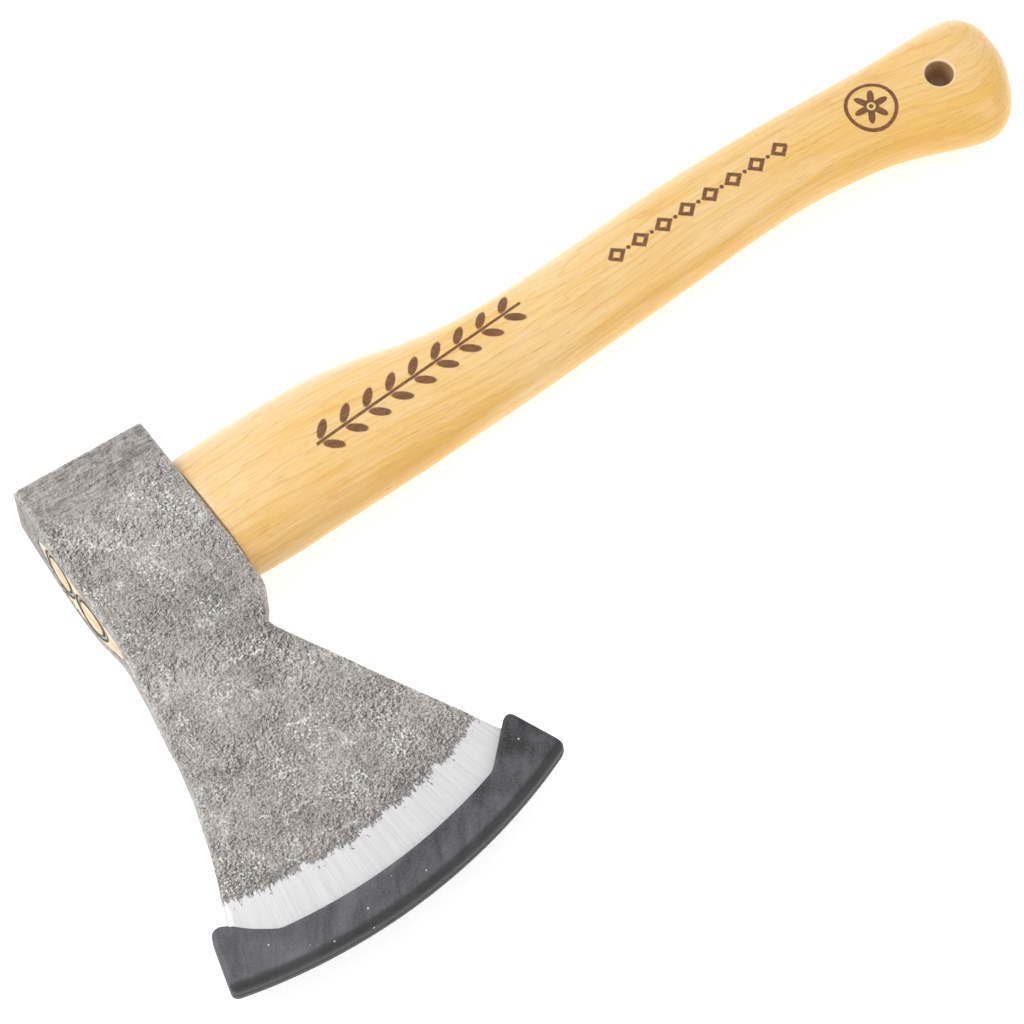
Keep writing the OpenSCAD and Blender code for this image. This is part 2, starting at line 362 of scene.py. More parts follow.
def eye_tool():
    out = []
    for side, s, grow in [
        (0, -4, 0.55), (0, 0.05, 0.55), (0, 0.28, 0.2), (0, 0.7, 0.0), (0, 6, 0), (1, -6, 0), (1, -0.7, 0), (1, -0.28, 0.2), (1, -0.05, 0.55), (1, 4, 0.55),
    ]:
        base = eye(0 if side == 0 else 50, grow)
        face = toe_u(base[:, 0]) if side == 0 else heel_u(base[:, 0])
        out.append(np.stack([face + s, base[:, 0], base[:, 1]], 1))
    k = len(out[0])
    verts = np.concatenate(out)
    faces = tube_faces(len(out), k)
    for at in (0, len(out) - 1):
        for j in range(k // 2 - 1):
            a = at * k
            # strips between the two long sides
            faces.append((a + j, a + j + 1, a + (k - 1 - j) % k, a + (k - j) % k) if j else (a, a + 1, a + k - 1))
        faces.append((a + k // 2 - 1, a + k // 2, a + k // 2 + 1))
    o = make("eye_tool", verts, faces)
    outward(o)
    return o


cut(head, eye_tool())
shade(head)

p = to_drawing(coords(head))
h_here = np.interp(-p[:, 1], -HEAD[:, 1], HEAD[:, 5])
side_gap = np.minimum(np.abs(p[:, 0] - toe_u(p[:, 1])), np.abs(heel_u(p[:, 1]) - p[:, 0]))
face_gap = np.abs(h_here - np.abs(p[:, 2]))
end_gap = np.abs(38.5 - p[:, 1])
corner = np.maximum.reduce(
    [np.exp(-((side_gap + face_gap) / 2.6) ** 2), np.exp(-((end_gap + face_gap) / 2.4) ** 2), np.exp(-((end_gap + side_gap) / 2.4) ** 2)]
)
attribute(head, "wear", corner)

# ---- handle ------------------------------------------------------------------------

HANDLE = np.array(
    [
        [50.4, -22.6, 25.6, 21.2, 0.078],
        [54, -22.6, 26.4, 22, 0.07],
        [62, -22.5, 27.2, 22.8, 0.04],
        [72, -22.2, 27.7, 23.2, 0.01],
        [86, -21.2, 28.2, 23.6, 0],
        [102, -20.2, 28.1, 24, 0],
        [118, -19.2, 26.1, 24, 0],
        [134, -17.9, 22.6, 24, 0],
        [150, -16.6, 20.6, 24, 0],
        [166, -15.2, 20.8, 24, 0],
        [182, -13.5, 21.8, 24, 0],
        [198, -11.9, 23.1, 24, 0],
        [214, -10.3, 24.6, 24, 0],
        [230, -8.6, 26.1, 24, 0],
        [246, -6.7, 27.2, 24, 0],
        [262, -5.2, 27.7, 24, 0],
        [278, -4.6, 27.9, 24, 0],
        [294, -5.3, 27.9, 24, 0],
        [308, -6.9, 27.9, 24, 0],
        [320, -10, 28, 24.8, 0],
        [331, -13.8, 28.6, 25.6, 0],
        [340, -16.2, 29.1, 25.6, 0],
        [346, -15.6, 29.2, 25, 0],
        [351.5, -12.2, 28.6, 22.6, 0],
        [356, -6.2, 26.6, 18.6, 0],
        [359.2, 1, 22.6, 13.2, 0],
        [360.4, 6.2, 17.8, 8.0, 0],
        [360.8, 9.9, 14.1, 3.0, 0],
    ]
)
K = 64


def spine(u):
    return np.interp(u, HANDLE[:, 0], (HANDLE[:, 1] + HANDLE[:, 2]) / 2)




def face_u(v):
    """The slant of the head's outer face around the eye, which the wood ends along."""
    return np.interp(-np.asarray(v), [-36, -12, -3, 6, 12.5, 18.5, 24, 32], [0, 0, 0.2, 0.6, 1.2, 2.0, 2.4, 2.4])


out = []
for u in [0.3, 0.7, 6, 12, 18, 24, 30, 36, 43, 49.2, 49.9]:
    e = eye(u, -0.1 - (0.3 if u == 0.3 else 0), K)
    lean = 0.078 * e[:, 0] if u > 40 else -face_u(e[:, 0]) * max(0, 1 - (u - 0.3) / 10)
    out.append(np.stack([u - lean, e[:, 0], e[:, 1]], 1))
for i, s in enumerate(smooth_rows(HANDLE, 1.8, [0])):
    for grow in ([-0.5, 0] if i == 0 else [0]):
        a, c = (s[2] - s[1]) / 2 + grow, (s[2] + s[1]) / 2
        e = oval(a, s[3] / 2 + grow, 2.35, 0.5, K)
        out.append(np.stack([s[0] + (0 if grow else 0.25 if i == 0 else 0) - s[4] * (e[:, 0] + c), e[:, 0] + c, e[:, 1]], 1))
k = len(out[0])
verts, faces = np.concatenate(out), tube_faces(len(out), k)
for at in (0, len(out) - 1):
    a = at * k
    faces += [(a, a + 1, a + k - 1)]
    faces += [(a + j, a + j + 1, a + k - 1 - j, a + k - j) for j in range(1, k // 2 - 1)]
    faces += [(a + k // 2 - 1, a + k // 2, a + k // 2 + 1)]
handle = make("hickory_handle", verts, faces)
outward(handle)
# the small unevenness of sanding by hand
co, nr = coords(handle), normals(handle)
p = to_drawing(co)
flat = perlin(np.stack([p[:, 0] / 46, p[:, 1] / 15, p[:, 2] / 15], 1)) * 0.5 + 0.5
set_coords(handle, co - nr * (0.16 * flat * smooth(p[:, 0], 51, 60) * smooth(360.4 - p[:, 0], 0, 4) / 1000)[:, None])


def lathe(name, profile, n, axis, at):
    """A closed profile of (radius, height) pairs turned about an axis through at."""
    verts, faces, m = [], [], len(profile)
    for i in range(n):
        a = 2 * math.pi * i / n
        for r, h in profile:
            d = (h, r * math.cos(a), r * math.sin(a)) if axis == "u" else (r * math.cos(a), r * math.sin(a), h)
            verts.append(tuple(np.array(at) + d))
    for i in range(n):
        for j in range(m):
            faces.append((i * m + j, ((i + 1) % n) * m + j, ((i + 1) % n) * m + (j + 1) % m, i * m + (j + 1) % m))
    o = make(name, verts, faces)
    outward(o)
    return o


def hole_tool():
    """The drill's cylinder with a countersink at each end."""
    prof, n = [(7.2, -14.6), (5.5, -12.75), (5.15, -12.5), (4.8, -12.1), (4.7, -11.6), (4.7, 11.6), (4.8, 12.1), (5.15, 12.5), (5.5, 12.75), (7.2, 14.6)], 72
    verts, faces, m = [], [], len(prof)
    for r, h in prof:
        for i in range(n):
            a = 2 * math.pi * i / n
            verts.append((335 + r * math.cos(a), 7.7 + r * math.sin(a), h))
    faces = tube_faces(m, n)
    faces += [tuple(range(n)), tuple((m - 1) * n + i for i in range(n))]
    o = make("hole_tool", verts, faces)
    outward(o)
    return o


RING_V = (11.2, -7.3)


def groove_tool(v, name):
    return lathe(name, [(8.38, -5), (8.38, 2.0), (8.12, 12.1), (7.52, 12.1), (6.88, 2.0), (6.88, -5)], 96, "u", (0, v, 0))


def wedge_tool():
    V, L = [], 21.55
    for v in (-L, L):
        V += [(-5, v, 1.18), (0.3, v, 1.16), (32.1, v, 0.42), (32.1, v, -0.42), (0.3, v, -1.16), (-5, v, -1.18)]
    F = [(j, (j + 1) % 6, 6 + (j + 1) % 6, 6 + j) for j in range(6)] + [tuple(range(6)), tuple(range(6, 12))]
    o = make("wedge_tool", V, F)
    outward(o)
    return o


cut(handle, wedge_tool(), groove_tool(RING_V[0], "g1"), groove_tool(RING_V[1], "g2"), hole_tool())
shade(handle, 32)
p = to_drawing(coords(handle))
attribute(handle, "grain", np.stack([p[:, 0], p[:, 1] - spine(p[:, 0]), p[:, 2]], 1))

# ---- wedges ------------------------------------------------------------------------


def wood_wedge_piece():
    """A split wedge: a fine grid, thinner towards its tip, with a slightly crushed top."""
    nu, nv = 34, 60
    verts = []
    for side in (1, -1):
        for i in range(nu + 1):
            f = i / nu
            for j in range(nv + 1):
                v = -21.5 + 43 * j / nv
                u0 = 0.3 + float(face_u(v))
                u = u0 + (32.0 - u0) * f
                t = 1.1 + (0.367 - 1.1) * f
                edge = min(j, nv - j)
                t -= 0.25 if edge == 0 else 0.06 if edge == 1 else 0
                t -= 0.12 if i == 0 else 0
                verts.append((u, v, side * t))
    w = nv + 1
    half = (nu + 1) * w
    faces = []
    for s in (0, half):
        faces += [(s + i * w + j, s + i * w + j + 1, s + (i + 1) * w + j + 1, s + (i + 1) * w + j) for i in range(nu) for j in range(nv)]
    faces += [(i * w, (i + 1) * w, half + (i + 1) * w, half + i * w) for i in range(nu)]
    faces += [(i * w + nv, (i + 1) * w + nv, half + (i + 1) * w + nv, half + i * w + nv) for i in range(nu)]
    faces += [(j, j + 1, half + j + 1, half + j) for j in range(nv)]
    faces += [(nu * w + j, nu * w + j + 1, half + nu * w + j + 1, half + nu * w + j) for j in range(nv)]
    o = make("split_wedge", verts, faces)
    outward(o)
    return o


wedge = wood_wedge_piece()
cut(wedge, groove_tool(RING_V[0], "g3"), groove_tool(RING_V[1], "g4"))
shade(wedge)


def ring_piece(v, name):
    prof = [
        (8.05, 12.0), (8.10, 9.5), (8.18, 6.5), (8.24, 4.5), (8.29, 2.6), (8.27, 2.35), (8.16, 2.17), (7.95, 2.1), (7.35, 2.1), (7.14, 2.17),
        (7.03, 2.35), (7.01, 2.6), (7.12, 4.5), (7.28, 6.5), (7.45, 9.5), (7.6, 12.0),
    ]
    o = lathe(name, prof, 128, "u", (0, v, 0))
    co = coords(o)
    q = to_drawing(co)
    # the lip follows the slanted face, a little below the wood, with hammer marks
    lip = smooth(q[:, 0], 6.0, 2.7)
    target = q[:, 0] - 2.1 + 0.42 + face_u(q[:, 1])
    dent = 0.10 * np.clip(perlin(q / 2.4), -0.3, 1)
    co[:, 0] += lip * (target + dent - q[:, 0]) / 1000
    set_coords(o, co)
    shade(o, 40)
    return o


ring_poll = ring_piece(RING_V[0], "steel_ring_poll")
ring_blade = ring_piece(RING_V[1], "steel_ring_blade")

# ---- edge guard --------------------------------------------------------------------

IN_C, IN_R, OUT_C, OUT_R = (19, 51), 181, (17.5, 55.5), 199.5
TOE_TOP, HEEL_TOP = np.array([-21.4, -117.4]), np.array([93.2, -104.6])


def on_arc(c, r, u):
    return np.array([u, c[1] - math.sqrt(r * r - (u - c[0]) ** 2)])


def lerp(a, b, k):
    return a + (b - a) * k


stations = []
for k in [0, 0.006, 0.014, 0.026, 0.042, 0.065, 0.09, 0.115, 0.14, 0.17, 0.2, 0.28, 0.36, 0.45, 0.54, 0.63, 0.72, 0.81, 0.9]:
    stations.append((on_arc(OUT_C, OUT_R, lerp(-26, -3.5, k)), lerp(TOE_TOP, on_arc(IN_C, IN_R, -3), k)))
for i in range(71):
    stations.append((on_arc(OUT_C, OUT_R, lerp(-3.5, 84, i / 70)), on_arc(IN_C, IN_R, lerp(-3, 79, i / 70))))
for k in [0.1, 0.19, 0.28, 0.37, 0.46, 0.55, 0.64, 0.72, 0.77, 0.81, 0.845, 0.87, 0.895, 0.92, 0.945, 0.963, 0.978, 0.989, 0.996, 1]:
    stations.append((on_arc(OUT_C, OUT_R, lerp(84, 103.4, k)), lerp(on_arc(IN_C, IN_R, 79), HEEL_TOP, k)))
NS = len(stations)
# the inner rim's two corners are rounded a little
inner = np.array([s[1] for s in stations])
for _ in range(1):
    near = [i for i in range(2, NS - 2) if min(abs(i - 19), abs(i - 89)) < 3]
    smoothed = inner.copy()
    for i in near:
        smoothed[i] = (inner[i - 1] + 2 * inner[i] + inner[i + 1]) / 4
    inner = smoothed
rings = []
travelled = 0
for i, (o_pt, _) in enumerate(stations):
    n_pt = inner[i]
    L = np.linalg.norm(n_pt - o_pt)
    d = (n_pt - o_pt) / L
    # distance from the nearer end, for the rounded ends
    e0 = np.linalg.norm(stations[i][0] - stations[0][0])
    e1 = np.linalg.norm(stations[i][0] - stations[-1][0])
    e = min(e0, e1)
    end = 1 - math.sqrt(max(0.0, 1 - (1 - min(e, 1.7) / 1.7) ** 2))
    ear = min(e, 4.2) / 4.2
    tip = 1 - math.sqrt(max(0.0, 1 - (1 - ear) ** 2))
    foot = min(e, 2.6) / 2.6
    heelpad = 1 - math.sqrt(max(0.0, 1 - (1 - foot) ** 2))
    x0 = 0.25 + 2.2 * heelpad
    x1 = L - 0.05 - 3.4 * tip + (1.2 * math.exp(-(((e0 - 6.5) / 5.0) ** 2)) if e0 < 22 else 0)
    H = 4.97 - 1.5 * end
    fade = min(1.0, e / 7)
    nub = 0.20 * math.exp(-(((o_pt[0] - 27) / 1.5) ** 2))
    prof = []
    # upper half, from the parting line on the outer wall over the top to the inner rim
    prof.append((x0 - 0.22 - nub, 0.0))
    prof.append((x0 - 0.14 - nub, 0.22))
    prof.append((x0 + 0.02 - 0.5 * nub, 0.45))
    prof.append((x0, 1.1))
    prof.append((x0 + 0.03, 2.0))
    for q in np.linspace(0.12, 1, 6):
        a = q * math.pi / 2
        prof.append((x0 + 2.5 * (1 - math.cos(a)), 2.2 + (H - 2.35) * math.sin(a)))
    span0, span1 = x0 + 2.6, x1 - 1.5
    for q in np.linspace(0.06, 1, 13):
        x = lerp(span0, span1, q)
        dish = 0.7 * math.sin(math.pi * min(1, q * 1.02)) ** 0.8 * fade if 0 < q < 1 else 0
        prof.append((x, H - 0.15 - dish + 0.15 * q))
    for q in (0.25, 0.5, 0.75, 1.0):
        a = q * math.pi / 2
        prof.append((x1 - 1.3 + 1.3 * math.sin(a), H - 1.3 * (1 - math.cos(a))))
    prof.append((x1, 1.5))
    prof.append((x1, 0.0))
    upper = [(o_pt[0] + d[0] * x, o_pt[1] + d[1] * x, z) for x, z in prof]
    lower = [(a, b, -z) for a, b, z in upper[-2:0:-1]]
    rings.append(upper + lower)
n = len(rings[0])
V = [p for r in rings for p in r]
F = tube_faces(len(rings), n)
m = n // 2
for at in (0, len(rings) - 1):
    a = at * n
    F += [(a, a + 1, a + n - 1)]
    F += [(a + j, a + j + 1, a + n - 1 - j, a + n - j) for j in range(1, m - 1)]
    F += [(a + m - 1, a + m, a + m + 1)]
guard = make("edge_cover", V, F)
outward(guard)
co, nr = coords(guard), normals(guard)
p = to_drawing(co)
soft = 0.5 + 0.5 * np.clip(fbm(p / np.array([16, 16, 30.0]), 3), -1, 1)
top = smooth(np.abs(nr[:, 2]), 0.6, 0.95)
set_coords(guard, co - nr * ((0.22 * soft * top + 0.03 * (1 - top) * soft) / 1000)[:, None])


def slot_tool():
    V = []
    for k in range(73):
        f = k / 72
        deep = on_arc((18, 54), 196, lerp(-23.2, 99.9, f))
        mouth = on_arc((18, 54), 162, lerp(-12, 82.2, f))
        V += [(*deep, 0.8), (*mouth, 3.75), (*mouth, -3.75), (*deep, -0.8)]
    F = tube_faces(73, 4) + [(0, 1, 2, 3), (288, 289, 290, 291)]
    o = make("slot_tool", V, F)
    outward(o)
    return o


cut(guard, slot_tool())
shade(guard, 42)
p = to_drawing(coords(guard))
# painted shade: the rim attribute marks the steep walls and the band along the outer arc for darkening in the rubber
# material
r_out = np.linalg.norm(p[:, :2] - np.array(OUT_C), axis=1)
wall = smooth(np.abs(normals(guard)[:, 2]), 0.75, 0.25)
attribute(guard, "rim", np.maximum(smooth(r_out, OUT_R - 4.0, OUT_R - 2.4), 0.8 * wall))

# ---- materials ---------------------------------------------------------------------


class Graph:
    """A node material: every helper returns an output socket."""

    def __init__(self, name):
        self.mat = bpy.data.materials.new(name)
        self.mat.use_nodes = True
        self.nt = self.mat.node_tree
        self.nt.nodes.clear()
        self.out = self.nt.nodes.new("ShaderNodeOutputMaterial")
        self.bsdf = self.nt.nodes.new("ShaderNodeBsdfPrincipled")
        self.nt.links.new(self.bsdf.outputs[0], self.out.inputs["Surface"])
        tc = self.nt.nodes.new("ShaderNodeTexCoord")
        self.P = self.vmath("SCALE", tc.outputs["Object"], scale=1000.0)
        self.x, self.y, self.z = self.split(self.P)

    def put(self, socket, value):
        if isinstance(value, bpy.types.NodeSocket):
            self.nt.links.new(value, socket)
        elif isinstance(value, (int, float)):
            socket.default_value = value
        else:
            value = tuple(value)
            socket.default_value = value if len(value) == len(socket.default_value) else value + (1.0,)

    def math(self, op, a, b=0.0, c=None, clamp=False):
        nd = self.nt.nodes.new("ShaderNodeMath")
        nd.operation, nd.use_clamp = op, clamp
        self.put(nd.inputs[0], a)
        self.put(nd.inputs[1], b)
        if c is not None:
            self.put(nd.inputs[2], c)
        return nd.outputs[0]

    def add(self, *v):
        t = v[0]
        for w in v[1:]:
            t = self.math("ADD", t, w)
        return t

    def mul(self, *v):
        t = v[0]
        for w in v[1:]:
            t = self.math("MULTIPLY", t, w)
        return t

    def vmath(self, op, a, b=None, scale=None):
        nd = self.nt.nodes.new("ShaderNodeVectorMath")
        nd.operation = op
        self.put(nd.inputs[0], a)
        if b is not None:
            self.put(nd.inputs[1], b)
        if scale is not None:
            self.put(nd.inputs["Scale"], scale)
        return nd.outputs[0]

    def split(self, v):
        nd = self.nt.nodes.new("ShaderNodeSeparateXYZ")
        self.put(nd.inputs[0], v)
        return nd.outputs[0], nd.outputs[1], nd.outputs[2]

    def vec(self, x, y, z=0.0):
        nd = self.nt.nodes.new("ShaderNodeCombineXYZ")
        for s, v in zip(nd.inputs, (x, y, z)):
            self.put(s, v)
        return nd.outputs[0]

    def noise(self, v, scale=1.0, detail=2.0, rough=0.5, distort=0.0):
        nd = self.nt.nodes.new("ShaderNodeTexNoise")
        self.put(nd.inputs["Vector"], v)
        for key, value in (("Scale", scale), ("Detail", detail), ("Roughness", rough), ("Distortion", distort)):
            self.put(nd.inputs[key], value)
        return nd.outputs[0]

    def voronoi(self, v, scale=1.0, feature="F1", randomness=1.0):
        nd = self.nt.nodes.new("ShaderNodeTexVoronoi")
        nd.feature = feature
        self.put(nd.inputs["Vector"], v)
        self.put(nd.inputs["Scale"], scale)
        self.put(nd.inputs["Randomness"], randomness)
        return nd.outputs["Distance"]

    def step(self, v, a, b, lo=0.0, hi=1.0):
        nd = self.nt.nodes.new("ShaderNodeMapRange")
        nd.interpolation_type = "SMOOTHSTEP"
        for s, x in zip(nd.inputs, (v, a, b, lo, hi)):
            self.put(s, x)
        return nd.outputs[0]

    def mix(self, f, a, b, blend="MIX"):
        nd = self.nt.nodes.new("ShaderNodeMix")
        nd.data_type, nd.blend_type = "RGBA", blend
        self.put(nd.inputs[0], f)
        self.put(nd.inputs[6], a)
        self.put(nd.inputs[7], b)
        return nd.outputs[2]

    def attr(self, name, vector=False):
        nd = self.nt.nodes.new("ShaderNodeAttribute")
        nd.attribute_name = name
        return nd.outputs["Vector" if vector else "Fac"]

    def bump(self, height, strength=1.0, distance=0.001):
        nd = self.nt.nodes.new("ShaderNodeBump")
        self.put(nd.inputs["Height"], height)
        self.put(nd.inputs["Strength"], strength)
        self.put(nd.inputs["Distance"], distance)
        return nd.outputs[0]

    def set(self, **kw):
        for key, value in kw.items():
            self.put(self.bsdf.inputs[key.replace("_", " ")], value)


def steel_material():
    g = Graph("forged_steel")
    # polar place about the grinding arc's middle
    dx = g.math("SUBTRACT", g.x, float(GRIND_C[0] - MID_U))
    dy = g.math("SUBTRACT", g.y, float(GRIND_C[1] - MID_V))
    r = g.math("SQRT", g.add(g.mul(dx, dx), g.mul(dy, dy)))
    arc = g.mul(g.math("ARCTAN2", dx, g.mul(dy, -1.0)), GRIND_R)
    spikes = g.math("SUBTRACT", g.noise(g.vec(g.mul(arc, 1.5), g.mul(r, 0.34), g.mul(g.z, 0.2)), 1, 4, 0.7), 0.5)
    slow = g.math("SUBTRACT", g.noise(g.vec(g.mul(arc, 0.13), 0.0, g.mul(g.z, 0.1)), 1, 2), 0.5)
    d = g.add(g.math("SUBTRACT", r, GRIND_R), g.mul(spikes, 10.0), g.mul(slow, 6.0))
    ground = g.step(d, -0.9, 0.8)
    pits_in = g.mul(g.step(g.noise(g.vec(g.mul(arc, 0.7), g.mul(r, 0.5), 0.0), 1, 1), 0.66, 0.70), g.step(d, 3.5, 0.5))
    ground = g.mul(ground, g.math("SUBTRACT", 1.0, pits_in))

    fine = g.noise(g.P, 2.3, 2, 0.6)
    grit = g.noise(g.P, 1.25, 3, 0.62, 0.5)
    patch = g.noise(g.P, 0.05, 4, 0.6)
    mid = g.noise(g.P, 0.26, 3, 0.6, 0.8)
    smoothed = g.step(g.add(g.y, g.mul(g.math("SUBTRACT", g.noise(g.P, 0.09, 3), 0.5), 9.0)), 69.0, 77.0)  # the poll end is smoother than the cheeks
    contrast = g.math("SUBTRACT", 1.0, g.mul(smoothed, 0.62))
    def painted_relief_shade(scale, step, detail):
        """Painted relief shading: the noise here minus the same noise a small step aside, so each bulge is painted
        lighter on one side and darker on the other.
        """
        here = g.noise(g.P, scale, detail, 0.6)
        there = g.noise(g.vmath("ADD", g.P, (0.8 * step, -0.6 * step, 0.0)), scale, detail, 0.6)
        return g.math("SUBTRACT", here, there)

    # the relief is deeper in patches, and along the border of the bevel
    rough = g.math("MAXIMUM", g.step(g.noise(g.P, 0.06, 2), 0.50, 0.62), g.step(d, -14.0, -3.0))
    # the two terms below are painted shade and highlight of the forged relief, mixed into the base colour
    lump_relief_shade = painted_relief_shade(0.42, 0.5, 3)
    chip_relief_shade = painted_relief_shade(1.0, 0.32, 2)
    v = g.add(
        0.45,
        g.mul(lump_relief_shade, g.add(0.7, g.mul(rough, 1.5)), contrast),
        g.mul(chip_relief_shade, g.add(1.3, g.mul(rough, 0.9)), contrast),
        g.mul(g.math("SUBTRACT", fine, 0.5), 1.7, contrast),
        g.mul(g.math("SUBTRACT", grit, 0.5), 0.9, contrast),
        g.mul(g.math("SUBTRACT", mid, 0.5), 0.7),
        g.mul(g.math("SUBTRACT", patch, 0.5), 0.75),
        g.mul(smoothed, g.math("SUBTRACT", g.noise(g.vec(g.mul(g.x, 0.16), g.mul(g.y, 1.3), g.mul(g.z, 1.3)), 1, 3, 0.65), 0.65), 1.0),
    )
    v = g.math("MULTIPLY", v, 1.0, clamp=True)
    near_bevel = g.mul(g.step(d, -12.0, 0.0), g.step(grit, 0.56, 0.40), 0.5)
    base = g.mix(v, (0.088, 0.077, 0.068), (0.74, 0.70, 0.66))
    base = g.mix(near_bevel, base, (0.17, 0.145, 0.12))
    # bright flecks where the scale has been knocked off, in loose groups
    group = g.step(g.noise(g.P, 0.085, 3), 0.46, 0.64)
    fleck = g.mul(g.step(g.noise(g.P, 1.3, 1, 0.5), 0.60, 0.67), g.add(0.22, g.mul(group, 1.0)), g.math("SUBTRACT", 1.0, g.mul(smoothed, 0.85)))
    # thin crooked scratches
    warp = g.vmath("ADD", g.P, g.vmath("SCALE", g.vec(g.noise(g.P, 0.30, 4, 0.6), g.noise(g.vmath("ADD", g.P, (31, 7, 3)), 0.30, 4, 0.6), 0.0), scale=8.0))
    crack = g.step(g.voronoi(warp, 0.075, "DISTANCE_TO_EDGE"), 0.024, 0.008)
    crack = g.mul(crack, g.step(g.noise(g.P, 0.10, 2), 0.50, 0.58), g.step(g.noise(g.P, 0.9, 1), 0.40, 0.52), g.math("SUBTRACT", 1.0, g.mul(smoothed, 0.7)))
    wear = g.mul(g.step(g.attr("wear"), 0.62, 0.98), g.step(g.noise(g.P, 0.9, 2), 0.38, 0.55), 0.85)
    bright = g.math("MAXIMUM", g.math("MAXIMUM", g.mul(fleck, 0.8), g.mul(crack, 0.75)), g.mul(wear, 0.7))
    bright = g.mul(g.math("MINIMUM", bright, 1.0), g.math("SUBTRACT", 1.0, ground))
    base = g.mix(bright, base, (0.93, 0.92, 0.90))
    # the ground bevel: fine lines across it, straight towards the edge
    lines = g.noise(g.vec(g.mul(arc, 1.9), g.mul(r, 0.045), g.mul(g.z, 0.2)), 1, 3, 0.7)
    broad = g.noise(g.vec(g.mul(arc, 0.5), g.mul(r, 0.04), 0.0), 1, 2)
    shine = g.add(0.96, g.mul(g.math("SUBTRACT", lines, 0.5), 0.50), g.mul(g.math("SUBTRACT", broad, 0.5), 0.08))
    bev = g.vec(shine, g.mul(shine, 1.0), g.mul(shine, 1.0))
    base = g.mix(ground, base, bev)
    height = g.add(g.mul(fine, 0.22, contrast), g.mul(grit, g.add(0.34, g.mul(rough, 0.25)), contrast), g.mul(mid, 0.6))
    height = g.add(g.mul(height, g.math("SUBTRACT", 1.0, ground)), g.mul(ground, g.add(0.10, g.mul(lines, 0.012))))
    g.set(
        Base_Color=base,
        Metallic=g.add(0.30, g.mul(ground, 0.35), g.mul(bright, 0.2)),
        Roughness=g.add(0.56, g.mul(ground, -0.24), g.mul(bright, -0.1)),
        Normal=g.bump(height, 0.9),
        Specular_IOR_Level=0.4,
    )
    return g.mat


def ornament(g, u, v):
    """Burned ornament on the upper side: a sprig, a row of lozenges and a rosette."""

    def frame_of(u0, v0, u1, v1):
        L = math.hypot(u1 - u0, v1 - v0)
        c, s = (u1 - u0) / L, (v1 - v0) / L
        a, b = g.math("SUBTRACT", u, u0), g.math("SUBTRACT", v, v0)
        return g.add(g.mul(a, c), g.mul(b, s)), g.math("SUBTRACT", g.mul(b, c), g.mul(a, s)), L

    rag = g.mul(g.math("SUBTRACT", g.noise(g.P, 2.2, 2), 0.5), 0.35)

    def soft(dist):
        return g.step(g.add(dist, rag), 0.16, -0.16)

    # sprig
    s, t, L = frame_of(90, 1.6, 172, 10.2)
    pitch = L / 9
    m = g.math("SUBTRACT", g.math("FLOORED_MODULO", s, pitch), pitch / 2)
    q = g.math("SUBTRACT", g.math("ABSOLUTE", t), 3.3)
    c, sn = math.cos(0.72), math.sin(0.72)
    a = g.add(g.mul(m, c), g.mul(q, sn))
    b = g.math("SUBTRACT", g.mul(q, c), g.mul(m, sn))
    leaf = g.mul(g.math("SUBTRACT", g.math("SQRT", g.add(g.math("POWER", g.math("ABSOLUTE", g.mul(a, 1 / 3.7)), 2.0), g.math("POWER", g.math("ABSOLUTE", g.mul(b, 1 / 1.5)), 2.0))), 1.0), 1.25)
    stem = g.math("SUBTRACT", g.math("ABSOLUTE", t), 0.55)
    span = g.math("SUBTRACT", g.math("ABSOLUTE", g.math("SUBTRACT", s, L / 2)), L / 2)
    sprig = g.math("MAXIMUM", g.math("MINIMUM", leaf, stem), span)
    # lozenges with a dot between
    s, t, L = frame_of(203, 7.6, 279, 12.6)
    pitch = L / 8
    m = g.math("SUBTRACT", g.math("FLOORED_MODULO", s, pitch), pitch / 2)
    loz = g.mul(g.math("SUBTRACT", g.add(g.mul(g.math("ABSOLUTE", m), 1 / 3.7), g.mul(g.math("ABSOLUTE", t), 1 / 3.3)), 1.0), 1.8)
    hollow = g.mul(g.math("SUBTRACT", 0.42, g.add(g.mul(g.math("ABSOLUTE", m), 1 / 3.7), g.mul(g.math("ABSOLUTE", t), 1 / 3.3))), 1.8)
    loz = g.math("MAXIMUM", loz, hollow)
    m2 = g.math("SUBTRACT", pitch / 2, g.math("ABSOLUTE", m))
    dot = g.math("SUBTRACT", g.math("SQRT", g.add(g.mul(m2, m2), g.mul(t, t))), 0.75)
    span = g.math("SUBTRACT", g.math("ABSOLUTE", g.math("SUBTRACT", s, L / 2)), L / 2 - 1.6)
    row = g.math("MAXIMUM", g.math("MINIMUM", loz, dot), span)
    # rosette
    a, b = g.math("SUBTRACT", u, 309.0), g.math("SUBTRACT", v, 9.6)
    rr = g.math("SQRT", g.add(g.mul(a, a), g.mul(b, b)))
    th = g.math("ARCTAN2", b, a)
    petal = g.math("SUBTRACT", rr, g.add(4.4, g.mul(g.math("COSINE", g.mul(th, 6.0)), 1.9)))
    petal = g.math("MAXIMUM", petal, g.math("SUBTRACT", 1.5, rr))
    ring = g.math("SUBTRACT", g.math("ABSOLUTE", g.math("SUBTRACT", rr, 8.4)), 0.65)
    seed = g.math("SUBTRACT", rr, 0.8)
    rosette = g.math("MINIMUM", g.math("MINIMUM", petal, ring), seed)
    every = g.math("MINIMUM", g.math("MINIMUM", sprig, row), rosette)
    return g.mul(soft(every), g.step(g.z, 16.5, 18.5))


